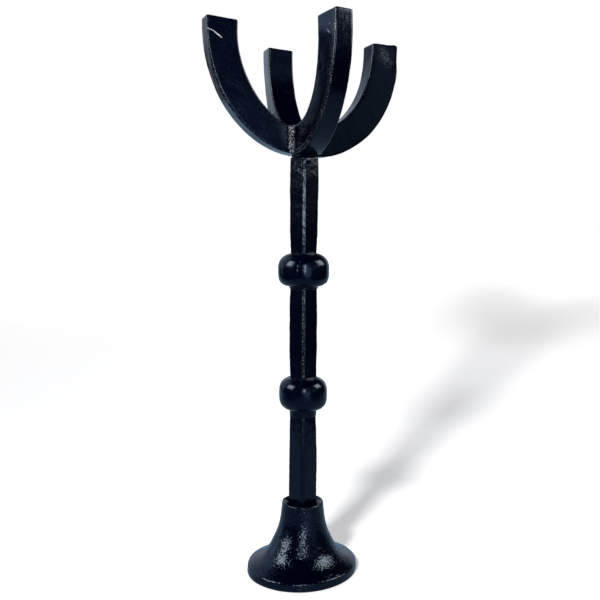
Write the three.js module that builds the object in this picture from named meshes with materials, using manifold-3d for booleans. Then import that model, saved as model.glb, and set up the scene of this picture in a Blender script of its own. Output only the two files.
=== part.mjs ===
// Tabletop candelabra: a stacked, tie-rodded iron stand with a four-armed crown.
// Units are millimetres, +Z is up, and the foot stands on Z = 0.
// The crown's arms lie along +X, +Y, -X and -Y.
import * as THREE from 'three';
import * as BufferGeometryUtils from 'three/addons/utils/BufferGeometryUtils.js';
import Module from 'manifold-3d';

// ---------------------------------------------------------------- driving dimensions
const HEIGHT = 370;              // floor to arm tips
const GAP = 0.3;                 // assembly clearance between neighbouring pieces

const ROD_RADIUS = 3;            // M6 tie rod through the whole stack
const ROD_BORE = 3.4;            // drilled way for the rod in foot, bars and knops

const FOOT_RADIUS = 38.1;        // 3 in foot
const FOOT_HEIGHT = 48.4;
const FOOT_RIM_HEIGHT = 5.2;     // plain upright band round the base
const FOOT_WALL = 3.6;
const COLLAR_RADIUS = 13.9;      // outside of the collar at the foot's top
const SOCKET_RADIUS = 9.95;      // round socket that takes the square stem
const SOCKET_DEPTH = 8.4;
const WEB_THICKNESS = 6;         // floor of the socket, which the nut pulls on

const BAR_CORNER = 2.4;          // rounding on the stem bars' four edges
const BAR_TURN = THREE.MathUtils.degToRad(23.7);   // stem's flats against the arms
const TENON = 2;                 // how far a bar end sits inside a knop

// Heights where the visible lengths of the stem begin and end.
const KNOP_LOWER_BOTTOM = 110;
const KNOP_LOWER_TOP = 137.9;
const KNOP_UPPER_BOTTOM = 198.3;
const KNOP_UPPER_TOP = 223.6;
const STEM_TOP = 286.7;

const ARM_THICKNESS = 13.6;      // across the arm
const ARM_DEPTH = 18.4;          // from the cradle side to the outer side
const ARM_REACH = 57.3;          // axis to the middle of an arm's tip
const ARM_CHAMFER = 0.9;
const HUB_CENTRE = 297.2;        // height of the arms' middle line at the hub
const ARM_COUNT = 4;

const ROUND = 40;                // facets round a turned piece

// ---------------------------------------------------------------- materials
function finish(color, roughness, metalness) {
  return new THREE.MeshStandardMaterial({ color, roughness, metalness });
}
const BLACK_PAINT = finish(0x14161c, 0.34, 0.25);
const WELD_PAINT = finish(0x2a2c31, 0.42, 0.35);
const ZINC_STEEL = finish(0xa4a6a8, 0.38, 1.0);

// ---------------------------------------------------------------- solid helpers
const wasm = await Module();
wasm.setup();

function toManifold(geometry) {
  const plain = geometry.clone();
  plain.deleteAttribute('normal');
  plain.deleteAttribute('uv');
  const merged = BufferGeometryUtils.mergeVertices(plain, 1e-4);
  return new wasm.Manifold(new wasm.Mesh({
    numProp: 3,
    vertProperties: new Float32Array(merged.attributes.position.array),
    triVerts: new Uint32Array(merged.index.array),
  }));
}

function fromManifold(solid) {
  const mesh = solid.getMesh();
  const geometry = new THREE.BufferGeometry();
  geometry.setAttribute('position', new THREE.BufferAttribute(mesh.vertProperties, 3));
  geometry.setIndex(new THREE.BufferAttribute(mesh.triVerts, 1));
  geometry.computeVertexNormals();
  return geometry;
}

function cut(geometry, ...tools) {
  let solid = toManifold(geometry);
  for (const tool of tools) {
    solid = solid.subtract(toManifold(tool));
  }
  return fromManifold(solid);
}

// Turns an outline of [radius, height] pairs about Z; the outline closes on itself.
function turned(outline, segments = ROUND) {
  const points = outline.map(([radius, height]) => new THREE.Vector2(radius, height));
  points.push(points[0].clone());
  const geometry = new THREE.LatheGeometry(points, segments);
  geometry.rotateX(Math.PI / 2);
  return geometry;
}

function rod(radius, bottom, top, segments = ROUND) {
  const geometry = new THREE.CylinderGeometry(radius, radius, top - bottom, segments);
  geometry.rotateX(Math.PI / 2);
  geometry.translate(0, 0, (bottom + top) / 2);
  return geometry;
}

function named(name, geometry, material) {
  const mesh = new THREE.Mesh(geometry, material);
  mesh.name = name;
  return mesh;
}

// ---------------------------------------------------------------- foot
// A bell casting: upright rim band, concave flare, collar with a round socket on top.
function footGeometry() {
  const flare = new THREE.CatmullRomCurve3([
    new THREE.Vector3(FOOT_RADIUS - 0.7, 0, FOOT_RIM_HEIGHT + 0.6),
    new THREE.Vector3(34.6, 0, 7.4),
    new THREE.Vector3(29.4, 0, 10.3),
    new THREE.Vector3(24.3, 0, 15.2),
    new THREE.Vector3(20.8, 0, 21.8),
    new THREE.Vector3(18.0, 0, 28.2),
    new THREE.Vector3(16.0, 0, 35.2),
    new THREE.Vector3(14.8, 0, 43.0),
    new THREE.Vector3(COLLAR_RADIUS + 0.1, 0, FOOT_HEIGHT - 0.8),
  ]);
  const outside = flare.getPoints(20).map((p) => [p.x, p.z]);
  const webBottom = FOOT_HEIGHT - SOCKET_DEPTH - WEB_THICKNESS;
  const hollow = outside
    .filter(([radius, height]) => height < webBottom - FOOT_WALL && radius > 12)
    .map(([radius, height]) => [radius - FOOT_WALL, height - FOOT_WALL * 0.4])
    .reverse();
  return turned([
    [ROD_BORE, webBottom],
    [hollow[0][0] - 2, webBottom],
    ...hollow,
    [FOOT_RADIUS - FOOT_WALL - 1.2, 0],
    [FOOT_RADIUS - 0.5, 0],
    [FOOT_RADIUS, 0.5],
    [FOOT_RADIUS, FOOT_RIM_HEIGHT - 0.4],
    ...outside,
    [COLLAR_RADIUS - 0.6, FOOT_HEIGHT],
    [SOCKET_RADIUS + 0.4, FOOT_HEIGHT],
    [SOCKET_RADIUS, FOOT_HEIGHT - 0.5],
    [SOCKET_RADIUS, FOOT_HEIGHT - SOCKET_DEPTH],
    [ROD_BORE, FOOT_HEIGHT - SOCKET_DEPTH],
  ], 56);
}

// ---------------------------------------------------------------- stem bars
function roundedSquare(side, corner) {
  const h = side / 2;
  const shape = new THREE.Shape();
  shape.moveTo(-h + corner, -h);
  shape.lineTo(h - corner, -h);
  shape.absarc(h - corner, -h + corner, corner, -Math.PI / 2, 0);
  shape.lineTo(h, h - corner);
  shape.absarc(h - corner, h - corner, corner, 0, Math.PI / 2);
  shape.lineTo(-h + corner, h);
  shape.absarc(-h + corner, h - corner, corner, Math.PI / 2, Math.PI);
  shape.lineTo(-h, -h + corner);
  shape.absarc(-h + corner, -h + corner, corner, Math.PI, Math.PI * 1.5);
  return shape;
}

// Side length at `t` (0 bottom, 1 top) of a bar given its bottom, middle and top sides.
function sideAt([bottom, middle, top], t) {
  return bottom * (1 - t) * (1 - 2 * t) + middle * 4 * t * (1 - t) + top * t * (2 * t - 1);
}

// A square bar with slightly swelling sides. `extra` grows it to cut its own socket.
function barGeometry(sides, bottom, top, extra = 0, bored = true) {
  const shape = roundedSquare(1, BAR_CORNER / sides[1]);
  const geometry = new THREE.ExtrudeGeometry(shape, {
    depth: 1,
    steps: 8,
    bevelEnabled: false,
    curveSegments: 4,
  });
  const position = geometry.attributes.position;
  for (let i = 0; i < position.count; i += 1) {
    const t = position.getZ(i);
    const side = sideAt(sides, t) + extra;
    position.setXYZ(i, position.getX(i) * side, position.getY(i) * side, bottom + t * (top - bottom));
  }
  geometry.rotateZ(BAR_TURN);
  if (!bored) {
    return geometry;
  }
  return cut(geometry, rod(ROD_BORE, bottom - 1, top + 1, 24));
}

// side lengths at the bottom, middle and top of each bar
const LOWER_SIDES = [14.95, 15.0, 14.0];
const MIDDLE_SIDES = [13.8, 15.0, 14.0];
const UPPER_SIDES = [13.9, 14.9, 14.7];

const LOWER_SPAN = [FOOT_HEIGHT - SOCKET_DEPTH + GAP, KNOP_LOWER_BOTTOM + TENON - GAP];
const MIDDLE_SPAN = [KNOP_LOWER_TOP - TENON + GAP, KNOP_UPPER_BOTTOM + TENON - GAP];
const UPPER_SPAN = [KNOP_UPPER_TOP - TENON + GAP, STEM_TOP];

// ---------------------------------------------------------------- knops
const KNOP_SQUARENESS = 0.69;    // 1 is a round ball, less is fuller

// A flattened ball on a short neck, with a square seat for the bar at each end.
function knopGeometry(bottom, top, radius, neckRadius, neckHeight, below, above) {
  const ballBottom = bottom + neckHeight;
  const half = (top - ballBottom) / 2;
  const middle = ballBottom + half;
  const ball = [];
  const steps = 14;
  for (let i = 0; i <= steps; i += 1) {
    const angle = -Math.PI / 2 + (Math.PI * i) / steps;
    const fullness = Math.sign(Math.sin(angle)) * Math.abs(Math.sin(angle)) ** KNOP_SQUARENESS;
    const r = radius * Math.cos(angle) ** KNOP_SQUARENESS;
    if (r > neckRadius - 0.4) {
      ball.push([r, middle + half * fullness]);
    }
  }
  const outline = [
    [ROD_BORE, bottom],
    [neckRadius - 0.6, bottom],
    [neckRadius, bottom + 0.6],
    [neckRadius - 0.2, ballBottom - 0.4],
    ...ball,
    [neckRadius - 0.8, top],
    [ROD_BORE, top],
  ];
  const lowerSeat = barGeometry(below.sides, below.span[0], below.span[1] + GAP, 2 * GAP, false);
  const upperSeat = barGeometry(above.sides, above.span[0] - GAP, above.span[1], 2 * GAP, false);
  return cut(turned(outline), lowerSeat, upperSeat);
}

// ---------------------------------------------------------------- crown
function hubGeometry() {
  const side = ARM_THICKNESS;
  const bottom = STEM_TOP + GAP;
  const top = HUB_CENTRE + ARM_DEPTH / 2;
  const block = new THREE.BoxGeometry(side, side, top - bottom);
  block.translate(0, 0, (bottom + top) / 2);
  return cut(block, rod(ROD_RADIUS + GAP, bottom - 1, HUB_CENTRE + 4, 24));
}

// Middle line of one arm, in its own plane: x is the distance from the stem's axis.
const ARM_LINE = new THREE.CubicBezierCurve(
  new THREE.Vector2(ARM_THICKNESS / 2 + GAP, HUB_CENTRE),
  new THREE.Vector2(ARM_REACH * 0.4, HUB_CENTRE + 0.9),
  new THREE.Vector2(ARM_REACH + 2.4, HUB_CENTRE + 19.6),
  new THREE.Vector2(ARM_REACH, HEIGHT),
);

// One arm: the side outline of a bent flat bar, extruded across its thickness.
function armGeometry() {
  const steps = 22;
  const outer = [];
  const inner = [];
  for (let i = 0; i <= steps; i += 1) {
    const t = i / steps;
    const point = ARM_LINE.getPoint(t);
    const along = t === 1 ? new THREE.Vector2(0, 1) : ARM_LINE.getTangent(t);
    if (i === 0) {
      along.set(1, 0);
    }
    const reach = ARM_DEPTH / 2 - ARM_CHAMFER;
    outer.push(new THREE.Vector2(point.x + along.y * reach, point.y - along.x * reach));
    inner.push(new THREE.Vector2(point.x - along.y * reach, point.y + along.x * reach));
  }
  // the bevel grows the outline, so both ends start one chamfer short
  outer[0].x += ARM_CHAMFER;
  inner[0].x += ARM_CHAMFER;
  outer[steps].y -= ARM_CHAMFER;
  inner[steps].y -= ARM_CHAMFER;
  const shape = new THREE.Shape([...outer, ...inner.reverse()]);
  const geometry = new THREE.ExtrudeGeometry(shape, {
    depth: ARM_THICKNESS - 2 * ARM_CHAMFER,
    bevelEnabled: true,
    bevelThickness: ARM_CHAMFER,
    bevelSize: ARM_CHAMFER,
    bevelSegments: 1,
    curveSegments: 1,
  });
  geometry.translate(0, 0, -ARM_THICKNESS / 2 + ARM_CHAMFER);
  geometry.rotateX(Math.PI / 2);
  return fromManifold(toManifold(geometry));
}

// A lumpy upright weld run in the corner between two arms.
function weldGeometry() {
  const radius = 2.3;
  const bottom = HUB_CENTRE - ARM_DEPTH / 2 + 1.5;
  const top = HUB_CENTRE + ARM_DEPTH / 2 - 1;
  const ripples = 5;
  const steps = 20;
  const outline = [new THREE.Vector2(0, bottom)];
  for (let i = 0; i <= steps; i += 1) {
    const t = i / steps;
    const swell = 1 - 0.16 * Math.abs(Math.sin(Math.PI * ripples * t));
    const taper = 1 - 0.35 * t ** 6;
    outline.push(new THREE.Vector2(radius * swell * taper, bottom + 0.5 + t * (top - bottom - 1)));
  }
  outline.push(new THREE.Vector2(0, top));
  const geometry = new THREE.LatheGeometry(outline, 12);
  geometry.rotateX(Math.PI / 2);
  const corner = ARM_THICKNESS / 2 + GAP + radius;
  geometry.translate(corner, corner, 0);
  return fromManifold(toManifold(geometry));
}

// ---------------------------------------------------------------- hidden fasteners
const WEB_BOTTOM = FOOT_HEIGHT - SOCKET_DEPTH - WEB_THICKNESS;
const WASHER_THICKNESS = 1.6;
const LOCK_WASHER_THICKNESS = 1.5;
const NUT_HEIGHT = 5;
const NUT_ACROSS_FLATS = 10;

function ring(outer, inner, bottom, top, segments) {
  return turned([[inner, bottom], [outer, bottom], [outer, top], [inner, top]], segments);
}

function fasteners() {
  const washerTop = WEB_BOTTOM - GAP;
  const washerBottom = washerTop - WASHER_THICKNESS;
  const lockTop = washerBottom - GAP;
  const lockBottom = lockTop - LOCK_WASHER_THICKNESS;
  const nutTop = lockBottom - GAP;
  const nutBottom = nutTop - NUT_HEIGHT;
  const hole = ROD_RADIUS + GAP;
  const nut = rod(NUT_ACROSS_FLATS / Math.sqrt(3), nutBottom, nutTop, 6);
  return [
    named('foot_washer', ring(9, hole, washerBottom, washerTop, 32), ZINC_STEEL),
    named('lock_washer', ring(5.9, hole, lockBottom, lockTop, 24), ZINC_STEEL),
    named('foot_nut', cut(nut, rod(hole, nutBottom - 1, nutTop + 1, 24)), ZINC_STEEL),
    named('tie_rod', rod(ROD_RADIUS, nutBottom - 2.5, HUB_CENTRE + 3.5, 24), ZINC_STEEL),
  ];
}

// ---------------------------------------------------------------- assembly
const candelabra = new THREE.Group();
candelabra.add(named('foot', footGeometry(), BLACK_PAINT));

const lower = { sides: LOWER_SIDES, span: LOWER_SPAN };
const middle = { sides: MIDDLE_SIDES, span: MIDDLE_SPAN };
const upper = { sides: UPPER_SIDES, span: UPPER_SPAN };
for (const [name, bar] of [['stem_lower', lower], ['stem_middle', middle], ['stem_upper', upper]]) {
  candelabra.add(named(name, barGeometry(bar.sides, bar.span[0], bar.span[1]), BLACK_PAINT));
}

const knopLower = knopGeometry(KNOP_LOWER_BOTTOM, KNOP_LOWER_TOP, 16.4, 9.6, 4.0, lower, middle);
const knopUpper = knopGeometry(KNOP_UPPER_BOTTOM, KNOP_UPPER_TOP, 17.3, 10.2, 1.4, middle, upper);
candelabra.add(named('knop_lower', knopLower, BLACK_PAINT));
candelabra.add(named('knop_upper', knopUpper, BLACK_PAINT));

candelabra.add(named('hub_block', hubGeometry(), BLACK_PAINT));
const ARM_NAMES = ['arm_right', 'arm_back', 'arm_left', 'arm_front'];
const WELD_NAMES = ['weld_back_right', 'weld_back_left', 'weld_front_left', 'weld_front_right'];
for (let i = 0; i < ARM_COUNT; i += 1) {
  const turn = (i * 2 * Math.PI) / ARM_COUNT;
  const arm = named(ARM_NAMES[i], armGeometry(), BLACK_PAINT);
  const weld = named(WELD_NAMES[i], weldGeometry(), WELD_PAINT);
  arm.rotation.z = turn;
  weld.rotation.z = turn;
  candelabra.add(arm, weld);
}

for (const piece of fasteners()) {
  candelabra.add(piece);
}

export default candelabra;
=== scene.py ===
"""Looks of a tabletop candelabra: black enamel over cast and forged iron.

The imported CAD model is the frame. Every visible CAD node is replaced by a finer mesh of the same piece.
The object's lengths are millimetres until they become mesh points, which are metres, like the studio's
lengths.
"""

import math

import bmesh
import bpy
from mathutils import Matrix, Vector, noise


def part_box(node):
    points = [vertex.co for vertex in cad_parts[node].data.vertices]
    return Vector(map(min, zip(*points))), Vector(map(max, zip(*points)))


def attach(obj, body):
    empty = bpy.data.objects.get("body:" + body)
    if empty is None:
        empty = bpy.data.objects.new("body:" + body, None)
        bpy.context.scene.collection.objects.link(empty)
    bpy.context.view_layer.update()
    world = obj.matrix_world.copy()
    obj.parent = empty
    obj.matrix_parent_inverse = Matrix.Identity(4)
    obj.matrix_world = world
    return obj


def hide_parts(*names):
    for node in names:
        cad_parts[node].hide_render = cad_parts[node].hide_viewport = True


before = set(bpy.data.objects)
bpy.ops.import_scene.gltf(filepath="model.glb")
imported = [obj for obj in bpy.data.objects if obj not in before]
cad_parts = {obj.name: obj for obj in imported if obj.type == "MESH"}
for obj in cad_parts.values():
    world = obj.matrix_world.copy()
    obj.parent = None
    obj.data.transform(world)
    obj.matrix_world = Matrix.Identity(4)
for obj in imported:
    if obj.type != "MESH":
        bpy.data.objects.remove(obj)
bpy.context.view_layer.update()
MM = 0.001


def box_mm(node):
    """Lowest and highest corner of a CAD node, in millimetres."""
    low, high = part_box(node)
    return Vector(low) / MM, Vector(high) / MM


# ------------------------------------------------------------------ camera
VIEW_TURN = math.radians(21.3)      # the camera stands this far clockwise of the front arm
CAMERA_DISTANCE = 533
CAMERA_HEIGHT = 246.5
CAMERA_PITCH = math.radians(5.97)   # looking slightly down
CAMERA_YAW = math.radians(0.26)
CAMERA_ROLL = math.radians(0.28)
SENSOR_WIDTH = 36
LENS = 46.95
FACING = Vector((-math.sin(VIEW_TURN), -math.cos(VIEW_TURN), 0))    # from the stem to the camera
RIGHTWARD = Vector((math.cos(VIEW_TURN), -math.sin(VIEW_TURN), 0))  # to the right in the picture


def make_camera():
    """The camera, at the height and distance of the original view."""
    data = bpy.data.cameras.new("camera")
    data.sensor_width = SENSOR_WIDTH
    data.lens = LENS
    data.clip_start = 0.01
    data.clip_end = 60
    camera = bpy.data.objects.new("camera", data)
    bpy.context.collection.objects.link(camera)
    place = FACING * CAMERA_DISTANCE + Vector((0, 0, CAMERA_HEIGHT))
    turn = (
        Matrix.Rotation(-VIEW_TURN + CAMERA_YAW, 4, "Z")
        @ Matrix.Rotation(math.pi / 2 - CAMERA_PITCH, 4, "X")
        @ Matrix.Rotation(CAMERA_ROLL, 4, "Z")
    )
    camera.matrix_world = Matrix.Translation(place * MM) @ turn
    bpy.context.scene.camera = camera


# ------------------------------------------------------------------ material helpers
class Graph:
    """Short ways to add and link nodes in one shader tree."""

    def __init__(self, tree):
        self.tree = tree

    def add(self, kind, **values):
        node = self.tree.nodes.new(kind)
        for key, value in values.items():
            setattr(node, key, value)
        return node

    def link(self, source, target):
        self.tree.links.new(source, target)

    def ramp(self, value, low, high, start=0.0, end=1.0):
        """Maps value smoothly from low..high to start..end, held at both ends."""
        node = self.add("ShaderNodeMapRange", interpolation_type="SMOOTHSTEP")
        for name, number in (("From Min", low), ("From Max", high), ("To Min", start), ("To Max", end)):
            node.inputs[name].default_value = number
        self.link(value, node.inputs["Value"])
        return node.outputs["Result"]

    def math(self, kind, first, second):
        """One sum on two values, each a number or a socket."""
        node = self.add("ShaderNodeMath", operation=kind)
        for socket, value in zip(node.inputs, (first, second)):
            if isinstance(value, (int, float)):
                socket.default_value = value
            else:
                self.link(value, socket)
        return node.outputs[0]

    def choose(self, factor, first, second):
        """The first shader where factor is 0 and the second where it is 1."""
        node = self.add("ShaderNodeMixShader")
        for socket, value in zip(node.inputs, (factor, first, second)):
            self.link(value, socket)
        return node.outputs[0]

    def seen_by_lens(self):
        return self.add("ShaderNodeLightPath").outputs["Is Camera Ray"]


class Nodes(Graph):
    """The shader nodes of one new material; sizes and places are in object space."""

    def __init__(self, name):
        self.material = bpy.data.materials.new(name)
        self.material.use_nodes = True
        super().__init__(self.material.node_tree)
        self.shader = self.tree.nodes["Principled BSDF"]
        self.place = self.add("ShaderNodeTexCoord").outputs["Object"]

    def noise(self, size, detail=3.0, rough=0.55):
        """Noise whose features are about `size` millimetres across, from 0 to 1."""
        node = self.add("ShaderNodeTexNoise")
        node.inputs["Scale"].default_value = 1 / (size * MM)
        node.inputs["Detail"].default_value = detail
        node.inputs["Roughness"].default_value = rough
        self.link(self.place, node.inputs["Vector"])
        return node.outputs["Fac"]

    def cells(self, size):
        """Distance to the nearest of scattered points about `size` millimetres apart."""
        node = self.add("ShaderNodeTexVoronoi", feature="SMOOTH_F1")
        node.inputs["Scale"].default_value = 1 / (size * MM)
        self.link(self.place, node.inputs["Vector"])
        return node.outputs["Distance"]

    def wear_and_highlight(self):
        """How worn the surface is here, and how strongly a highlight is painted on it, from 0 to 1, as
        the mesh says.
        """
        return self.add("ShaderNodeAttribute", attribute_name="wear_and_highlight").outputs["Fac"]

    def mix(self, factor, first, second):
        """Blends two colours, each a tuple or a socket."""
        node = self.add("ShaderNodeMix", data_type="RGBA")
        self.link(factor, node.inputs["Factor"])
        for socket, value in ((node.inputs["A"], first), (node.inputs["B"], second)):
            if isinstance(value, tuple):
                socket.default_value = (*value, 1.0)
            else:
                self.link(value, socket)
        return node.outputs["Result"]

    def bump(self, height, distance, under=None):
        """Raises the surface by `height` times `distance` millimetres."""
        node = self.add("ShaderNodeBump")
        node.inputs["Strength"].default_value = 1.0
        node.inputs["Distance"].default_value = distance * MM
        self.link(height, node.inputs["Height"])
        if under is not None:
            self.link(under, node.inputs["Normal"])
        return node.outputs["Normal"]

    def set(self, **values):
        """Sets or links inputs of the surface shader; an underscore stands for a space."""
        for key, value in values.items():
            socket = self.shader.inputs[key.replace("_", " ")]
            if hasattr(value, "node"):
                self.link(value, socket)
            else:
                socket.default_value = value


# ------------------------------------------------------------------ materials
ENAMEL = (0.00005, 0.0002, 0.0048)
ENAMEL_THIN = (0.0002, 0.0008, 0.0062)
# Lighter colour of crests and edges: partly worn paint, partly a painted highlight.
WORN_AND_HIGHLIGHT = (0.12, 0.12, 0.125)
WELD_CREST = (0.33, 0.34, 0.35)
BARE_METAL = (0.55, 0.57, 0.57)
ZINC = (0.62, 0.63, 0.64)
ZINC_DULL = (0.42, 0.43, 0.45)
COOL_SHEEN = (0.66, 0.84, 1.0, 1.0)
SCRATCH_WANDER = 1.1                # a scratch strays this far from its straight line
SCRATCH_RAGGEDNESS = 1.6            # over stretches about this long


def enamel(name, dimple_size, dimple_depth, grit_depth, gloss=(0.15, 0.22), shine=0.26, marks=()):
    """Blue-black enamel over rough iron: dimples, fine grit, and crests painted lighter, partly as rubbed
    paint and partly as a painted highlight.

    gloss is the lowest and highest roughness, and shine how strongly the paint mirrors the room.
    marks are (start, end, width, strength): ragged lines where the paint is scraped off.
    """
    n = Nodes(name)
    grit = n.noise(0.8, detail=4, rough=0.65)
    dimples = n.cells(dimple_size)
    speckle = n.ramp(n.noise(1.0, detail=4, rough=0.7), 0.5, 0.64)
    # Crests and edges turn lighter: worn paint and a painted highlight, broken up by speckle.
    worn_and_highlit = n.math("MULTIPLY", n.ramp(n.wear_and_highlight(), 0.3, 1.0), speckle)
    colour = n.mix(n.ramp(n.noise(2.5, detail=4), 0.4, 0.65), ENAMEL, ENAMEL_THIN)
    colour = n.mix(worn_and_highlit, colour, WORN_AND_HIGHLIGHT)
    roughness = n.ramp(n.noise(1.5, detail=3), 0.35, 0.65, *gloss)
    for start, end, width, strength in marks:
        mark = n.math("MULTIPLY", scratch_mask(n, start, end, width), strength)
        colour = n.mix(mark, colour, BARE_METAL)
        roughness = n.math("MAXIMUM", roughness, n.math("MULTIPLY", mark, 0.7))
    normal = n.bump(dimples, dimple_depth)
    normal = n.bump(grit, grit_depth, under=normal)
    n.set(Base_Color=colour, Roughness=roughness, Normal=normal)
    n.set(Specular_Tint=COOL_SHEEN, Specular_IOR_Level=shine)
    return n.material


def scratch_mask(n, start, end, width):
    """1 along a ragged line between two points, in millimetres, and 0 elsewhere."""
    start, end = Vector(start) * MM, Vector(end) * MM
    run = end - start
    wander = n.add("ShaderNodeTexNoise")
    wander.inputs["Scale"].default_value = 1 / (SCRATCH_RAGGEDNESS * MM)
    n.link(n.place, wander.inputs["Vector"])
    shift = n.add("ShaderNodeVectorMath", operation="MULTIPLY_ADD")
    shift.inputs[1].default_value = (SCRATCH_WANDER * MM,) * 3
    n.link(wander.outputs["Color"], shift.inputs[0])
    n.link(n.place, shift.inputs[2])
    offset = n.add("ShaderNodeVectorMath", operation="SUBTRACT")
    offset.inputs[1].default_value = start + Vector((SCRATCH_WANDER / 2,) * 3) * MM
    n.link(shift.outputs[0], offset.inputs[0])
    along = n.add("ShaderNodeVectorMath", operation="DOT_PRODUCT")
    along.inputs[1].default_value = run / run.length_squared
    n.link(offset.outputs[0], along.inputs[0])
    held = n.add("ShaderNodeClamp")
    n.link(along.outputs["Value"], held.inputs["Value"])
    foot = n.add("ShaderNodeVectorMath", operation="SCALE")
    foot.inputs[0].default_value = run
    n.link(held.outputs[0], foot.inputs["Scale"])
    gap = n.add("ShaderNodeVectorMath", operation="DISTANCE")
    n.link(offset.outputs[0], gap.inputs[0])
    n.link(foot.outputs[0], gap.inputs[1])
    return n.ramp(gap.outputs["Value"], 0.35 * width * MM, 0.6 * width * MM, 1.0, 0.0)


def weld_metal():
    """Painted weld: the crests have lost their paint and shine."""
    n = Nodes("weld_metal")
    crest = n.math("MULTIPLY", n.wear_and_highlight(), n.ramp(n.noise(1.1, detail=4), 0.45, 0.62))
    colour = n.mix(crest, ENAMEL_THIN, WELD_CREST)
    normal = n.bump(n.noise(0.7, detail=5, rough=0.65), 0.12)
    n.set(Base_Color=colour, Normal=normal)
    n.set(Roughness=n.ramp(crest, 0.0, 1.0, 0.28, 0.42))
    n.set(Metallic=n.ramp(crest, 0.2, 0.9, 0.0, 0.8))
    return n.material


def zinc_plate():
    """Bright zinc plate with a faint spangle and grey handling marks."""
    n = Nodes("zinc_plate")
    marks = n.noise(1.4, detail=4)
    n.set(Base_Color=n.mix(n.ramp(marks, 0.35, 0.7), ZINC, ZINC_DULL))
    n.set(Roughness=n.ramp(n.noise(0.9, detail=3), 0.3, 0.7, 0.26, 0.45), Metallic=1.0)
    n.set(Normal=n.bump(n.noise(0.25, detail=3), 0.02))
    return n.material


# ------------------------------------------------------------------ mesh helpers
def new_piece(name, points, faces, material, node, wear_and_highlight=None):
    """Makes one smooth closed mesh piece from points in millimetres, standing for a CAD node."""
    mesh = bpy.data.meshes.new(name)
    mesh.from_pydata([point * MM for point in points], [], faces)
    shaped = bmesh.new()
    shaped.from_mesh(mesh)
    bmesh.ops.recalc_face_normals(shaped, faces=shaped.faces)
    shaped.to_mesh(mesh)
    shaped.free()
    mesh.shade_smooth()
    mesh.attributes.new("wear_and_highlight", "FLOAT", "POINT")
    mesh.attributes["wear_and_highlight"].data.foreach_set("value", wear_and_highlight or [0.0] * len(points))
    mesh.materials.append(material)
    piece = bpy.data.objects.new(name, mesh)
    bpy.context.collection.objects.link(piece)
    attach(piece, "root")
    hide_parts(node)
    return piece


def bridge(rings, closed=False):
    """Quads between neighbouring rings of equal length; closed joins the last ring to the first."""
    count = len(rings[0])
    faces = []
    last = len(rings) if closed else len(rings) - 1
    for i in range(last):
        a, b = i * count, ((i + 1) % len(rings)) * count
        for j in range(count):
            k = (j + 1) % count
            faces.append((a + j, a + k, b + k, b + j))
    return faces


def capped(count, rings):
    """Quads along a run of `rings` rings of `count` points, with one flat face on each end."""
    first = tuple(reversed(range(count)))
    last = tuple(range((rings - 1) * count, rings * count))
    return [*bridge([range(count)] * rings), first, last]


def fan(ring_start, count, centre):
    """Triangles from one ring of points to a single centre point."""
    ring = range(ring_start, ring_start + count)
    return [(a, b, centre) for a, b in zip(ring, [*ring[1:], ring_start])]


def roughen(piece, layers, seed, dents=()):
    """Pushes points in and out along their normals: layers are (feature size, height) pairs.

    dents are (place, radius, depth), each a smooth hollow; a negative depth is a bump.
    """
    offset = Vector((seed * 7.31, seed * 3.17, seed * 5.03))
    hollows = [(Vector(centre), radius, depth) for centre, radius, depth in dents]
    points = piece.data.vertices
    normals = [point.normal.copy() for point in points]
    for point, normal in zip(points, normals):
        place = point.co / MM
        push = sum(height * noise.noise(place / size + offset) for size, height in layers)
        for centre, radius, depth in hollows:
            reach = (place - centre).length / radius
            if reach < 1:
                push -= depth * (1 - reach * reach) ** 2
        point.co += normal * (push * MM)
    piece.data.update()


def catmull(points, steps):
    """A smooth line through 2-D points, with `steps` pieces between neighbours."""
    line = []
    for i in range(len(points) - 1):
        p0 = Vector(points[max(i - 1, 0)])
        p1, p2 = Vector(points[i]), Vector(points[i + 1])
        p3 = Vector(points[min(i + 2, len(points) - 1)])
        for k in range(steps):
            t = k / steps
            a = 2 * p1
            b = (p2 - p0) * t
            c = (2 * p0 - 5 * p1 + 4 * p2 - p3) * t * t
            d = (3 * p1 - p0 - 3 * p2 + p3) * t ** 3
            line.append((a + b + c + d) / 2)
    line.append(Vector(points[-1]))
    return line


def evenly(line, spacing, closed=False):
    """The same 2-D line with points about `spacing` apart, corners kept."""
    path = [Vector(point) for point in line]
    if closed:
        path.append(path[0].copy())
    out = []
    for start, end in zip(path, path[1:]):
        parts = max(1, round((end - start).length / spacing))
        out += [start.lerp(end, i / parts) for i in range(parts)]
    if not closed:
        out.append(path[-1])
    return out


def turned_rings(outline, count):
    """Rings of points round the stem's axis, one for each (radius, height) of the outline."""
    angles = [2 * math.pi * i / count for i in range(count)]
    return [
        [Vector((radius * math.cos(a), radius * math.sin(a), height)) for a in angles]
        for radius, height in outline
    ]


def rounded_section(width, depth, corner, spacing, shave=1.0):
    """Points round a rounded rectangle as (x, y, crest); crest is 1 on a corner and 0 on a flat.

    A shave under 1 hammers each corner flat at that share of its radius.
    """
    points = []
    hw, hd = width / 2, depth / 2
    arc = max(3, round(corner * math.pi / 2 / (spacing * 0.6)))
    centres = [(hw - corner, hd - corner), (-hw + corner, hd - corner),
               (-hw + corner, -hd + corner), (hw - corner, -hd + corner)]
    for i, (cx, cy) in enumerate(centres):
        for k in range(arc + 1):
            angle = math.pi / 2 * (i + k / arc)
            crest = math.sin(math.pi * k / arc)
            reach = min(corner, corner * shave / math.cos(math.pi / 2 * (k / arc - 0.5)))
            points.append((cx + reach * math.cos(angle), cy + reach * math.sin(angle), crest))
        nx, ny = centres[(i + 1) % 4]
        angle = math.pi / 2 * (i + 1)
        start = Vector((cx + corner * math.cos(angle), cy + corner * math.sin(angle)))
        end = Vector((nx + corner * math.cos(angle), ny + corner * math.sin(angle)))
        parts = max(2, round((end - start).length / spacing))
        points += [(*start.lerp(end, k / parts), 0.0) for k in range(1, parts)]
    return points


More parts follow.
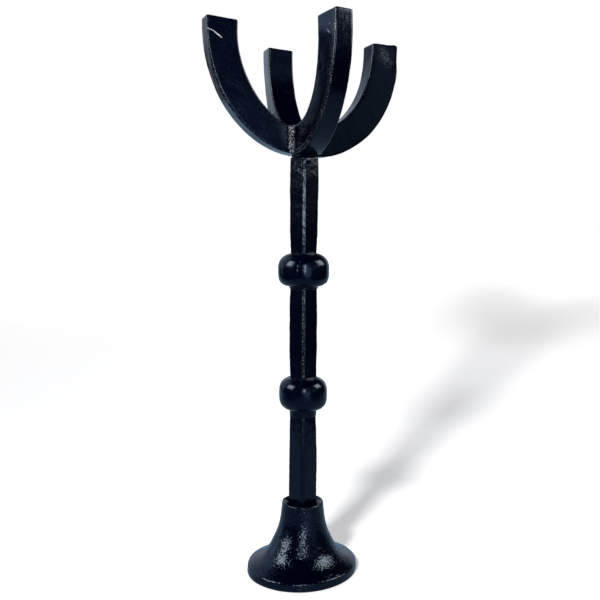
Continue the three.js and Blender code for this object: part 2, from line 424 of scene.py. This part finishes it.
# ------------------------------------------------------------------ marks of hand work
# Hollows by node, each as (place, radius, depth); a negative depth is a bump.
DENTS = {
    "stem_upper": [
        ((-3.9, -8.6, 286.0), 1.5, -0.7), ((-0.2, -8.5, 284.4), 1.4, -0.7),
        ((-3.3, -8.9, 280.5), 1.3, -0.5), ((-2.4, -9.0, 282.6), 1.2, 0.4),
    ],
    "knop_lower": [
        ((-5.0, -11.0, 137.6), 1.8, -0.7), ((-6.4, -12.0, 135.4), 1.8, 0.7),
        ((-7.6, -13.0, 132.6), 2.0, 0.5),
    ],
    "knop_upper": [
        ((-8.8, -13.6, 217.6), 1.8, 0.5), ((-9.0, -14.2, 215.0), 1.8, 0.6),
        ((-9.2, -14.5, 212.4), 1.8, 0.6), ((-9.3, -14.6, 209.8), 1.8, 0.4),
    ],
    "arm_right": [((66.0, -7.6, 360.5), 19.0, 2.2)],
    "arm_back": [((3.0, 43.5, 338.5), 5.0, -0.5)],
}
# Scraped lines, each as (start, end, width, strength).
LEFT_ARM_SCRATCH = [
    ((-67.0, -4.6, 364.9), (-62.8, -4.6, 362.8), 0.6, 0.8),
    ((-62.8, -4.6, 362.8), (-58.4, -4.6, 360.0), 0.9, 0.85),
]
FRONT_ARM_PITS = [
    ((-6.5, -57.6, 361.8), (-6.5, -57.4, 360.9), 1.0, 0.3),
    ((-7.0, -55.0, 358.4), (-6.6, -56.9, 356.3), 1.1, 0.35),
    ((-5.4, -63.2, 360.0), (-5.4, -63.0, 356.5), 0.9, 0.25),
]


# ------------------------------------------------------------------ foot
FOOT_HIGH = box_mm("foot")[1]
FOOT_RADIUS = FOOT_HIGH.x
FOOT_TOP = FOOT_HIGH.z + 0.5            # the casting's lip stands this much proud
RIM_HEIGHT = 5.2
COLLAR_RADIUS = 13.9
SOCKET_RADIUS = 9.95
SOCKET_DEPTH = 8.4
WEB_BOTTOM = FOOT_HIGH.z - SOCKET_DEPTH - 6
WALL = 3.6
ROD_BORE = 3.4
# The rim is pushed back on the right and forward on the left by this share of its reach. The skew
# fades in from SKEW_TOP down and is whole below SKEW_FULL.
SKEW = 0.09
SKEW_TOP = 40
SKEW_FULL = 15
# The rim's top edge and the collar's lip are painted lighter: worn paint and a painted highlight line.
RIM_WEAR_AND_HIGHLIGHT = 0.35
LIP_WEAR_AND_HIGHLIGHT = 0.6
EDGE_REACH = 0.9        # the wear and the painted highlight fade out about this far from the edge


def foot_outline():
    """The casting's section as (radius, height) points, from the bore out and back to it."""
    top = FOOT_TOP
    flare = catmull([
        (FOOT_RADIUS - 0.7, RIM_HEIGHT + 0.6), (34.6, 7.4), (29.4, 10.3), (24.3, 15.2), (20.8, 21.8),
        (18.0, 28.2), (16.1, 35.2), (15.1, 43.0), (COLLAR_RADIUS + 0.6, top - 0.6),
    ], 8)
    hollow = [
        Vector((p.x - WALL, p.y - WALL * 0.4))
        for p in reversed(flare) if p.y < WEB_BOTTOM - WALL and p.x > 12
    ]
    outline = [
        (ROD_BORE, WEB_BOTTOM), (hollow[0].x - 2.5, WEB_BOTTOM), (hollow[0].x - 0.6, WEB_BOTTOM - 1.2),
        *hollow, (FOOT_RADIUS - WALL - 1.2, 0.3), (FOOT_RADIUS - WALL - 0.8, 0),
        (FOOT_RADIUS - 0.2, 0), (FOOT_RADIUS + 0.35, 0.3), (FOOT_RADIUS + 0.5, 0.9),
        (FOOT_RADIUS + 0.1, RIM_HEIGHT - 1.2), (FOOT_RADIUS, RIM_HEIGHT - 0.4),
        (FOOT_RADIUS - 0.3, RIM_HEIGHT + 0.2), *flare,
        (COLLAR_RADIUS + 0.3, top), (COLLAR_RADIUS - 0.5, top), (COLLAR_RADIUS - 1.0, top - 0.4),
        (SOCKET_RADIUS + 1.0, top - 1.8), (SOCKET_RADIUS, top - 3.2),
        (SOCKET_RADIUS, top - SOCKET_DEPTH), (ROD_BORE, top - SOCKET_DEPTH),
    ]
    return evenly(outline, 0.9, closed=True)


def make_foot(material):
    """The bell casting, with its socket on top and its hollow underside."""
    outline = foot_outline()
    rings = turned_rings(outline, 216)
    points = [point for ring in rings for point in ring]
    for point in points:
        fade = min(1, max(0, (SKEW_TOP - point.z) / (SKEW_TOP - SKEW_FULL)))
        point -= FACING * (SKEW * fade * fade * (3 - 2 * fade) * point.dot(RIGHTWARD))
    rim, lip = Vector((FOOT_RADIUS, RIM_HEIGHT)), Vector((COLLAR_RADIUS, FOOT_TOP))
    wear_and_highlight = []
    # Lighter along the rim's top edge and the lip: wear and a painted highlight.
    for place in outline:
        near_rim = math.exp(-((place - rim).length / EDGE_REACH) ** 2)
        near_lip = math.exp(-((place - lip).length / EDGE_REACH) ** 2)
        wear_and_highlight += [max(RIM_WEAR_AND_HIGHLIGHT * near_rim, LIP_WEAR_AND_HIGHLIGHT * near_lip)] * len(rings[0])
    faces = bridge(rings, closed=True)
    foot = new_piece("bell_foot", points, faces, material, "foot", wear_and_highlight)
    roughen(foot, [(26, 0.4), (9, 0.07), (3.6, 0.05), (1.5, 0.06)], 1)
    for vertex in foot.data.vertices:
        vertex.co.z = max(vertex.co.z, 0.0)
    return foot


# ------------------------------------------------------------------ stem bars
BAR_TURN = math.radians(23.7)   # the bars stand turned this much against the crown
BAR_CORNER = 2.4                # rounding of the ridges
BAR_SHAVE = 0.82                # and the share of it left after hammering
# Side length at the bottom, in the middle and at the top.
BAR_SIDES = {
    "stem_lower": (15.5, 15.5, 14.5),
    "stem_middle": (14.3, 15.5, 14.5),
    "stem_upper": (14.4, 15.4, 15.2),
}
# How worn each bar's ridges are, and how strong the highlight painted along them is, at the bottom and at
# the top.
BAR_WEAR_AND_HIGHLIGHT = {"stem_lower": (0.15, 0.55), "stem_middle": (0.9, 1.0), "stem_upper": (1.0, 0.9)}


def swelling(bottom, middle, top, t):
    """A bar's side length at t, from 0 at its bottom end to 1 at its top: a parabola through three."""
    return bottom * (1 - t) * (1 - 2 * t) + middle * 4 * t * (1 - t) + top * t * (2 * t - 1)


def make_bar(node, material, seed):
    """A square bar with rounded edges and swelling sides, closed at both ends."""
    low, high = box_mm(node)
    sides = BAR_SIDES[node]
    section = rounded_section(1, 1, BAR_CORNER / sides[1], 0.05, BAR_SHAVE)
    steps = round((high.z - low.z) / 0.8)
    turn = Matrix.Rotation(BAR_TURN, 3, "Z")
    low_wear_and_highlight, high_wear_and_highlight = BAR_WEAR_AND_HIGHLIGHT[node]
    points, wear_and_highlight = [], []
    for i in range(steps + 1):
        t = i / steps
        side = swelling(*sides, t)
        for x, y, crest in section:
            points.append(turn @ Vector((x * side, y * side, low.z + t * (high.z - low.z))))
            # The ridges are marked for wear and a painted highlight, blended from bottom to top.
            wear_and_highlight.append(crest * (low_wear_and_highlight + (high_wear_and_highlight - low_wear_and_highlight) * t))
    faces = bridge([section] * (steps + 1))
    count = len(section)
    for height in (low.z, high.z):
        points.append(Vector((0, 0, height)))
        wear_and_highlight.append(0.0)
    faces += fan(0, count, len(points) - 2)
    faces += fan(steps * count, count, len(points) - 1)
    bar = new_piece(node + "_bar", points, faces, material, node, wear_and_highlight)
    roughen(bar, [(30, 0.45), (11, 0.2), (3.2, 0.1), (1.4, 0.07)], seed, DENTS.get(node, ()))
    return bar


# ------------------------------------------------------------------ knops
# Neck radius, neck height, and how square the ball's lower and upper halves are (1 is round).
KNOPS = {"knop_lower": (9.3, 4.0, 0.62, 0.62), "knop_upper": (9.9, 1.4, 0.53, 0.72)}


def make_knop(node, material, seed):
    """A flattened ball growing out of a short neck."""
    low, high = box_mm(node)
    radius = high.x + 0.15
    neck, neck_height, under, over = KNOPS[node]
    bottom = low.z + neck_height
    half = (high.z - bottom) / 2
    ball = []
    steps = 64
    for i in range(steps + 1):
        angle = -math.pi / 2 + math.pi * i / steps
        squareness = under if angle < 0 else over
        rise = math.copysign(abs(math.sin(angle)) ** squareness, math.sin(angle))
        r = radius * max(math.cos(angle), 0) ** squareness
        if r > neck + 0.6 or (angle > 0 and r > neck - 1.2):
            ball.append((r, bottom + half + half * rise))
    outline = [
        (ROD_BORE, low.z), (neck - 1.2, low.z), (neck - 0.4, low.z + 0.2), (neck, low.z + 0.6),
        (neck, ball[0][1] - 0.3), *ball, (neck - 1.8, high.z), (ROD_BORE, high.z),
    ]
    outline = evenly(outline, 0.7, closed=True)
    rings = turned_rings(outline, 160)
    points = [point for ring in rings for point in ring]
    knop = new_piece(node + "_ball", points, bridge(rings, closed=True), material, node)
    roughen(knop, [(18, 0.3), (7, 0.1), (2.6, 0.04)], seed, DENTS.get(node, ()))
    return knop


# ------------------------------------------------------------------ crown
HUB_LOW, HUB_HIGH = box_mm("hub_block")
ARM_DEPTH = 18.4
ARM_THICKNESS = 13.6
ARM_EDGE = 1.0                            # rounding on the bar's edges
HUB_SIDE = ARM_THICKNESS + 0.3
# The dome of weld on the hub: share of the hub's width, and rise above it.
HUB_DOME = ((0.97, 0.5), (0.8, 1.6), (0.6, 2.3), (0.4, 2.7), (0.2, 2.9))
# Hand work, arm by arm. Turn: degrees round the stem. Line: (reach, height) of the curve's four
# handles. Depth and thickness: at the hub and at the tip. Twist: degrees at the tip, and power makes
# it come late. Lean: sideways at the tip. Slope: of the tip's cut. Blunt: how strongly the cut's
# outer corner is worn down. Swell: extra thickness on one side of the root. Streak: wear, with a
# painted highlight, along one edge.
ARMS = {
    "arm_right": dict(turn=-0.9, line=[(6.4, 296.3), (21.2, 295.3), (56.8, 309.6), (56.5, 364.9)],
                      depth=(18.4, 21.1), thickness=(13.2, 14.8), twist=-0.2, lean=0.3, slope=(0.09, 0),
                      blunt=15),
    "arm_back": dict(turn=88.2, line=[(6.4, 297.3), (21.5, 298.0), (59.4, 316.7), (57.2, 367.8)],
                     depth=(17.9, 17.4), thickness=(15.3, 18.1), twist=-5.2, lean=0.4, slope=(0, 0.08)),
    "arm_left": dict(turn=178.2, line=[(6.4, 296.7), (21.5, 297.1), (59.4, 318.6), (57.6, 372.5)],
                     depth=(16.9, 20.7), thickness=(12.5, 12.5), twist=1.8, lean=0.1, slope=(0.05, 0)),
    "arm_front": dict(turn=270.7, line=[(6.4, 297.8), (21.0, 299.0), (56.8, 316.0), (52.8, 369.1)],
                      depth=(18.9, 19.6), thickness=(14.5, 12.3), twist=11.2, lean=-2.0, power=1.3,
                      swell=3.4, streak=0.8),
}


def bezier(points, t):
    """A point of a cubic curve and its direction there."""
    a, b, c, d = (Vector(point) for point in points)
    s = 1 - t
    place = a * s ** 3 + b * 3 * s * s * t + c * 3 * s * t * t + d * t ** 3
    along = (b - a) * 3 * s * s + (c - b) * 6 * s * t + (d - c) * 3 * t * t
    return place, along.normalized()


def make_arm(node, material, seed):
    """One bent flat bar, from the hub to its roughly square-cut tip."""
    arm = ARMS[node]
    section = rounded_section(ARM_DEPTH, ARM_THICKNESS, ARM_EDGE, 0.85)
    steps = 130
    spin = Matrix.Rotation(math.radians(arm["turn"]), 3, "Z")
    points, wear_and_highlight = [], []

    def add_ring(t, inset, rise, edge):
        centre, along = bezier(arm["line"], t)
        swirl = math.radians(arm["twist"]) * t ** arm.get("power", 1)
        slope = arm.get("slope", (0, 0))
        deep = (arm["depth"][0] * (1 - t) + arm["depth"][1] * t) / ARM_DEPTH
        thick = (arm["thickness"][0] * (1 - t) + arm["thickness"][1] * t) / ARM_THICKNESS
        for v, u, crest in section:
            v *= deep * (1 - inset / (ARM_DEPTH / 2))
            u *= thick * (1 - inset / (ARM_THICKNESS / 2))
            if u < 0:
                u -= arm.get("swell", 0) * (1 - t) ** 5
            lift = rise - ARM_EDGE + (slope[0] * v + slope[1] * u) * t ** 6
            outer = max(0, v / deep / (ARM_DEPTH / 2) - 0.6)
            lift -= arm.get("blunt", 0) * outer ** 2 * t ** 20
            out, up = along.y * v, -along.x * v
            x = out * math.cos(swirl) - u * math.sin(swirl) + centre.x + along.x * lift
            y = out * math.sin(swirl) + u * math.cos(swirl) + arm["lean"] * t
            points.append(spin @ Vector((x, y, centre.y + up + along.y * lift)))
            # The corners, the tip's rounded edge and the streak are marked for wear and a painted
            # highlight.
            streak = arm.get("streak", 0) * math.exp(-((v / deep - ARM_DEPTH / 2 + 2.2) / 1.5) ** 2)
            wear_and_highlight.append(max(crest, edge, streak if u < 0 else 0))

    for i in range(steps + 1):
        add_ring(i / steps, 0, 0, 0.0)
    for k in range(1, 5):
        angle = math.pi / 2 * k / 4
        add_ring(1, ARM_EDGE * (1 - math.cos(angle)), ARM_EDGE * math.sin(angle), math.sin(2 * angle))
    for inset in (2.2, 3.4, 4.6, 5.6):
        add_ring(1, inset, ARM_EDGE, 0.0)
    faces = capped(len(section), len(points) // len(section))
    bar = new_piece(node + "_bar", points, faces, material, node, wear_and_highlight)
    roughen(bar, [(34, 0.4), (12, 0.16), (4.5, 0.06), (1.6, 0.05)], seed, DENTS.get(node, ()))
    return bar


def make_hub(material):
    """The block at the crown's centre, ground roughly flush with the arms, under a low dome of weld."""
    section = rounded_section(HUB_SIDE, HUB_SIDE, 0.8, 0.8)
    steps = 20
    levels = [(1, HUB_LOW.z + i / steps * (HUB_HIGH.z - HUB_LOW.z), 0) for i in range(steps + 1)]
    levels += [(scale, HUB_HIGH.z + rise, 0.2) for scale, rise in HUB_DOME]
    points, wear_and_highlight = [], []
    for scale, height, weld_wear in levels:
        for x, y, crest in section:
            points.append(Vector((x * scale, y * scale, height)))
            wear_and_highlight.append(weld_wear or crest * 0.3)
    faces = capped(len(section), len(levels))
    hub = new_piece("crown_hub", points, faces, material, "hub_block", wear_and_highlight)
    roughen(hub, [(7, 0.25), (2.4, 0.2)], 30)
    return hub


# ------------------------------------------------------------------ welds
FRONT_SWELL = 4.2       # the front left weld sits this much further left, where that arm's root swells
WELD_LUMPS = 7
WELDS = {"weld_back_right": 0, "weld_back_left": 1, "weld_front_left": 2, "weld_front_right": 3}


def weld_place(node, out):
    """A point of the corner that a weld fills, this far out from the stem's axis both ways."""
    place = Matrix.Rotation(WELDS[node] * math.pi / 2, 3, "Z") @ Vector((out, out, 0))
    if node == "weld_front_left":
        place.x -= FRONT_SWELL
    return place


def fused_lumps(name, lumps):
    """One skin round overlapping (place, size) lumps, as points and faces in millimetres."""
    shaped = bmesh.new()
    for place, size in lumps:
        shape = Matrix.Translation(place) @ Matrix.Diagonal((size, size, size * 0.75, 1))
        bmesh.ops.create_icosphere(shaped, subdivisions=3, radius=1, matrix=shape)
    mesh = bpy.data.meshes.new(name)
    shaped.to_mesh(mesh)
    shaped.free()
    lumps_object = bpy.data.objects.new(name, mesh)
    bpy.context.collection.objects.link(lumps_object)
    fuse = lumps_object.modifiers.new("fuse", "REMESH")
    fuse.mode = "VOXEL"
    fuse.voxel_size = 0.36
    soften = lumps_object.modifiers.new("soften", "SMOOTH")
    soften.iterations = 3
    graph = bpy.context.evaluated_depsgraph_get()
    fused = bpy.data.meshes.new_from_object(lumps_object.evaluated_get(graph))
    points = [point.co.copy() for point in fused.vertices]
    faces = [tuple(face.vertices) for face in fused.polygons]
    bpy.data.objects.remove(lumps_object)
    return points, faces


def make_weld(node, material):
    """A run of overlapping weld lumps fused into one skin, in the corner between two arms."""
    quarter = WELDS[node]
    low, high = box_mm(node)
    lumps = []
    for i in range(WELD_LUMPS):
        t = i / (WELD_LUMPS - 1)
        spread = noise.noise(Vector((quarter * 9.1, i * 1.7, 0.5)))
        place = weld_place(node, ARM_THICKNESS / 2 + 0.7 + 0.5 * spread)
        place.z = low.z + 0.6 + t * (high.z - low.z - 0.6)
        lumps.append((place, 2.6 + 0.7 * spread))
    points, faces = fused_lumps(node + "_lumps", lumps)
    corner = weld_place(node, ARM_THICKNESS / 2)
    reaches = [(Vector((point.x, point.y, 0)) - corner).length for point in points]
    wear_and_highlight = [min(1.0, max(0.0, reach / 2.6 - 0.25)) for reach in reaches]
    weld = new_piece(node + "_bead", points, faces, material, node, wear_and_highlight)
    roughen(weld, [(2.2, 0.35), (0.9, 0.12)], 40 + quarter)
    return weld


# ------------------------------------------------------------------ fasteners
ROD_RADIUS = 3.0
THREAD_LENGTH = 16
THREAD_PITCH = 1.0
THREAD_DEPTH = 0.55
THREAD_RUNOUT = 1.5     # the thread fades out over this length
ROD_CHAMFER = 0.7
HOLE_RADIUS = ROD_RADIUS + 0.3
NUT_CHAMFER = math.radians(30)
SPLIT = math.radians(16)            # the gap in the spring washer


def make_tie_rod(material):
    """The long rod: plain in the middle, with a real helical thread at each end."""
    low, high = box_mm("tie_rod")
    count = 36
    heights = []
    z = low.z
    while z < high.z:
        heights.append(z)
        near_end = min(z - low.z, high.z - z) < THREAD_LENGTH
        z += THREAD_PITCH / 8 if near_end else 4
    heights.append(high.z)
    points = []
    for z in heights:
        from_end = min(z - low.z, high.z - z)
        run_out = min(1, max(0, (THREAD_LENGTH - from_end) / THREAD_RUNOUT))
        fade = run_out * min(1, from_end / 0.8 + 0.25)
        chamfer = max(0, ROD_CHAMFER - from_end)
        for i in range(count):
            phase = (z / THREAD_PITCH - i / count) % 1
            groove = THREAD_DEPTH * fade * abs(2 * phase - 1)
            r = ROD_RADIUS - max(groove, chamfer)
            a = 2 * math.pi * i / count
            points.append(Vector((r * math.cos(a), r * math.sin(a), z)))
    faces = capped(count, len(heights))
    return new_piece("threaded_tie_rod", points, faces, material, "tie_rod")


def make_nut(material):
    """A hexagon nut with chamfered corners and a plain bore."""
    low, high = box_mm("foot_nut")
    flat = min(high.x - low.x, high.y - low.y) / 2
    height = high.z - low.z
    # Rings as (rise, radius); a ring without a radius follows the chamfered hexagon.
    profile = [(0, HOLE_RADIUS + 0.5), (0, flat - 0.1)]
    profile += [(height * i / 12, None) for i in range(13)]
    profile += [(height, flat - 0.1), (height, HOLE_RADIUS + 0.5)]
    profile += [(height - 0.5, HOLE_RADIUS), (0.5, HOLE_RADIUS)]
    count = 120
    rings = []
    for rise, radius in profile:
        ring = []
        edge = min(rise, height - rise)
        cone = flat - 0.05 + edge / math.tan(NUT_CHAMFER)
        for i in range(count):
            a = 2 * math.pi * i / count
            across = flat / math.cos((a + math.pi / 6) % (math.pi / 3) - math.pi / 6)
            r = radius or min(across, cone)
            ring.append(Vector((r * math.cos(a), r * math.sin(a), low.z + rise)))
        rings.append(ring)
    points = [point for ring in rings for point in ring]
    faces = bridge(rings, closed=True)
    nut = new_piece("hex_nut", points, faces, material, "foot_nut")
    nut.data.shade_flat()
    return nut


def make_washer(material):
    """A stamped flat washer: one edge rolled over, the other crisp."""
    low, high = box_mm("foot_washer")
    outer, inner = high.x, HOLE_RADIUS
    outline = [
        (inner, low.z + 0.2), (inner + 0.2, low.z), (outer - 0.1, low.z), (outer, low.z + 0.1),
        (outer, high.z - 0.5), (outer - 0.15, high.z - 0.15), (outer - 0.5, high.z),
        (inner + 0.5, high.z), (inner + 0.1, high.z - 0.3),
    ]
    rings = turned_rings(outline, 96)
    points = [point for ring in rings for point in ring]
    faces = bridge(rings, closed=True)
    return new_piece("flat_washer", points, faces, material, "foot_washer")


def make_lock_washer(material):
    """A split spring washer, its cut ends sprung slightly apart."""
    low, high = box_mm("lock_washer")
    outer, inner = high.x, HOLE_RADIUS
    middle, half = (outer + inner) / 2, (outer - inner) / 2 - 0.05
    thick = (high.z - low.z) / 2 - 0.15
    section = rounded_section(2 * half, 2 * thick, 0.2, 0.4)
    steps = 90
    points = []
    for i in range(steps + 1):
        t = i / steps
        a = SPLIT / 2 + t * (2 * math.pi - SPLIT)
        rise = (low.z + high.z) / 2 + 0.14 * (2 * t - 1)
        for x, y, _ in section:
            r = middle + x
            points.append(Vector((r * math.cos(a), r * math.sin(a), rise + y)))
    faces = capped(len(section), steps + 1)
    return new_piece("spring_washer", points, faces, material, "lock_washer")


# ------------------------------------------------------------------ studio
def toward(round_degrees, up_degrees):
    """The direction this far round from the camera (right is positive) and this far up."""
    a, e = math.radians(round_degrees), math.radians(up_degrees)
    level = FACING * math.cos(a) + RIGHTWARD * math.sin(a)
    return level * math.cos(e) + Vector((0, 0, math.sin(e)))


# The paper's two ends: half its width, and its reach towards the camera, in metres.
PAPER_NEAR = (0.25, 0.5)
PAPER_FAR = (4.6, -9.0)
PAPER_PAINTED_GLOW = (1.0, 0.95, 0.9, 1)
MIRRORED_PAPER = (0.46, 0.72, 1.0, 1)


def make_floor():
    """A strip of pale paper widening away from the camera. It glows, weaker near the stem and stronger
    towards the back: painted light that sets the shadow's depth, lightens it further back and keeps the
    far paper white.
    """
    ends = ((-1, *PAPER_NEAR), (1, *PAPER_NEAR), (1, *PAPER_FAR), (-1, *PAPER_FAR))
    corners = [RIGHTWARD * side * half_width + FACING * reach for side, half_width, reach in ends]
    mesh = bpy.data.meshes.new("floor")
    mesh.from_pydata(corners, [], [(0, 1, 2, 3)])
    n = Nodes("pale_floor")
    from_stem = n.add("ShaderNodeVectorMath", operation="LENGTH")
    n.link(n.place, from_stem.inputs[0])
    distance = from_stem.outputs["Value"]
    n.set(Base_Color=(0.95, 0.95, 0.95, 1), Roughness=0.9, Specular_IOR_Level=0.0)
    # The paper's own glow is painted light, rising with distance from the stem.
    n.set(Emission_Color=PAPER_PAINTED_GLOW, Emission_Strength=n.ramp(distance, 0.5, 4.0, 0.35, 0.98))
    # The enamel mirrors a plainer, bluer paper than the lens sees.
    mirrored = n.add("ShaderNodeEmission")
    mirrored.inputs["Color"].default_value = MIRRORED_PAPER
    n.link(n.ramp(distance, 0.3, 1.3, 0.5, 0.8), mirrored.inputs["Strength"])
    surface = n.choose(n.seen_by_lens(), mirrored.outputs[0], n.shader.outputs[0])
    n.link(surface, n.tree.nodes["Material Output"].inputs["Surface"])
    mesh.materials.append(n.material)
    floor = bpy.data.objects.new("floor", mesh)
    bpy.context.collection.objects.link(floor)
    return floor


class Sky(Graph):
    """World shader nodes that depend on the direction looked in."""

    def __init__(self, tree):
        super().__init__(tree)
        self.direction = self.add("ShaderNodeTexCoord").outputs["Generated"]

    def toward(self, axis):
        """The cosine of the angle between the direction looked in and an axis."""
        node = self.add("ShaderNodeVectorMath", operation="DOT_PRODUCT")
        node.inputs[1].default_value = axis
        self.link(self.direction, node.inputs[0])
        return node.outputs["Value"]

    def glow(self, colour, strength=None):
        """A plain background colour, at strength 1 unless a socket gives it."""
        node = self.add("ShaderNodeBackground")
        node.inputs["Color"].default_value = (*colour, 1)
        node.inputs["Strength"].default_value = 1.0
        if strength:
            self.link(strength, node.inputs["Strength"])
        return node.outputs[0]


# Soft patches of light in the room, which the enamel mirrors: degrees round from the camera,
# degrees up, cosine at the edge, strength.
PATCHES = [(52, 9, 0.965, 0.55), (24, 28, 0.96, 0.5), (-115, 11, 0.94, 1.3), (-126, 34, 0.9, 1.0)]
WHITE = (1, 1, 1)
BACKDROP_BLUE = (0.68, 0.80, 1.0)
ROOM_BLUE = (0.50, 0.72, 1.0)


def make_world():
    """Two soft lobes of light behind, a low glow and patches round the sides, darkness overhead.

    The lens itself sees plain white everywhere.
    """
    world = bpy.data.worlds.new("studio")
    bpy.context.scene.world = world
    world.use_nodes = True
    world.node_tree.nodes.clear()
    sky = Sky(world.node_tree)
    up = sky.toward((0, 0, 1))
    low = sky.ramp(up, 0.5, 0.8, 1.0, 0.0)
    left_lobe = sky.ramp(sky.toward(toward(-160, 10)), 0.90, 0.985, 0.02, 0.88)
    right_lobe = sky.ramp(sky.toward(toward(154, 0)), 0.86, 0.985, 0.0, 1.0)
    behind = sky.math("MULTIPLY", sky.math("MAXIMUM", left_lobe, right_lobe), low)
    nearly_level = sky.ramp(up, 0.04, 0.22, 1.0, 0.0)
    front_lobe = sky.ramp(sky.toward(toward(18, 0)), 0.93, 0.985, 0.01, 1.8)
    in_front = sky.math("MULTIPLY", front_lobe, nearly_level)
    for round_degrees, up_degrees, edge, strength in PATCHES:
        patch = sky.ramp(sky.toward(toward(round_degrees, up_degrees)), edge, 0.995, 0.0, strength)
        in_front = sky.math("MAXIMUM", in_front, patch)
    studio = sky.add("ShaderNodeAddShader")
    sky.link(sky.glow(BACKDROP_BLUE, behind), studio.inputs[0])
    sky.link(sky.glow(ROOM_BLUE, in_front), studio.inputs[1])
    surface = sky.choose(sky.seen_by_lens(), studio.outputs[0], sky.glow(WHITE))
    sky.link(surface, sky.add("ShaderNodeOutputWorld").inputs[0])


# Name, degrees round from the camera (right is positive), degrees up, distance, width and height in
# metres, radiance.
LIGHTS = [
    ("softbox_left", -71, 36, 1.0, 0.48, 0.50, 8.8),
    ("softbox_right", 88, 38, 1.0, 0.46, 0.46, 7.6),
    ("fill_front", 5, 19, 1.23, 0.21, 0.46, 12.0),
]
# The same, for lamps that leave no reflection: the first lights only the paper, the second all but
# it, and the third everything.
SHADOW_LAMP = ("shadow_lamp", -22, 40.4, 0.614, 0.066, 0.066, 775.0)
WASH_LAMP = ("wash_lamp", -21.5, 33, 1.2, 0.3, 0.3, 34.0)
OVERHEAD = ("overhead", 0, 89, 1.6, 2.6, 2.6, 0.28)
LAMP_COLOUR = (0.97, 0.98, 1.0)


def make_lamp(name, round_degrees, up_degrees, distance, width, height, radiance):
    """A rectangular lamp this far from the middle of the foot, and facing it."""
    data = bpy.data.lights.new(name, "AREA")
    data.shape = "RECTANGLE"
    data.size, data.size_y = width, height
    data.energy = 4 * width * height * radiance
    light = bpy.data.objects.new(name, data)
    bpy.context.collection.objects.link(light)
    direction = toward(round_degrees, up_degrees)
    light.location = direction * distance
    light.rotation_euler = direction.to_track_quat("Z", "Y").to_euler()
    return light


def even_reach(light):
    """Lets a lamp light the paper evenly however far off it is, as a large far lamp would."""
    light.data.use_nodes = True
    lamp = Graph(light.data.node_tree)
    falloff = lamp.add("ShaderNodeLightFalloff")
    falloff.inputs["Strength"].default_value = 1.0
    strength = lamp.math("MULTIPLY", falloff.outputs["Constant"], falloff.outputs["Linear"])
    lamp.link(strength, lamp.tree.nodes["Emission"].inputs["Strength"])


def link_lamp(light, floor, state):
    """Lets a lamp light only the paper (INCLUDE) or everything but the paper (EXCLUDE)."""
    group = bpy.data.collections.new(light.name + "_paper")
    group.objects.link(floor)
    group.collection_objects[0].light_linking.link_state = state
    light.light_linking.receiver_collection = group


def make_lights(floor):
    """Softboxes that only show as reflections, and lamps that leave none."""
    for values in LIGHTS:
        light = make_lamp(*values)
        light.data.color = LAMP_COLOUR
        light.visible_diffuse = False
    for values, state in ((SHADOW_LAMP, "INCLUDE"), (WASH_LAMP, "EXCLUDE"), (OVERHEAD, None)):
        light = make_lamp(*values)
        light.visible_glossy = False
        if state:
            link_lamp(light, floor, state)
        if state == "INCLUDE":
            even_reach(light)


# ------------------------------------------------------------------ assembly
make_camera()
make_world()
make_lights(make_floor())

foot_enamel = enamel("foot_enamel", 1.3, 0.22, 0.06, gloss=(0.09, 0.14), shine=0.33)
bar_enamel = enamel("bar_enamel", 1.5, 0.04, 0.018)
knop_enamel = enamel("knop_enamel", 2.2, 0.04, 0.015, gloss=(0.17, 0.2))
left_enamel = enamel("left_arm_enamel", 1.5, 0.04, 0.02, marks=LEFT_ARM_SCRATCH)
front_enamel = enamel("front_arm_enamel", 1.5, 0.04, 0.02, marks=FRONT_ARM_PITS)
weld_paint = weld_metal()
zinc = zinc_plate()
arm_paint = {"arm_left": left_enamel, "arm_front": front_enamel}

make_foot(foot_enamel)
for seed, node in enumerate(BAR_SIDES, 10):
    make_bar(node, bar_enamel, seed)
for seed, node in enumerate(KNOPS, 20):
    make_knop(node, knop_enamel, seed)
for seed, node in enumerate(ARMS, 2):
    make_arm(node, arm_paint.get(node, bar_enamel), seed)
make_hub(bar_enamel)
for node in WELDS:
    make_weld(node, weld_paint)
make_tie_rod(zinc)
make_nut(zinc)
make_washer(zinc)
make_lock_washer(zinc)

bpy.context.scene.view_settings.view_transform = "Standard"
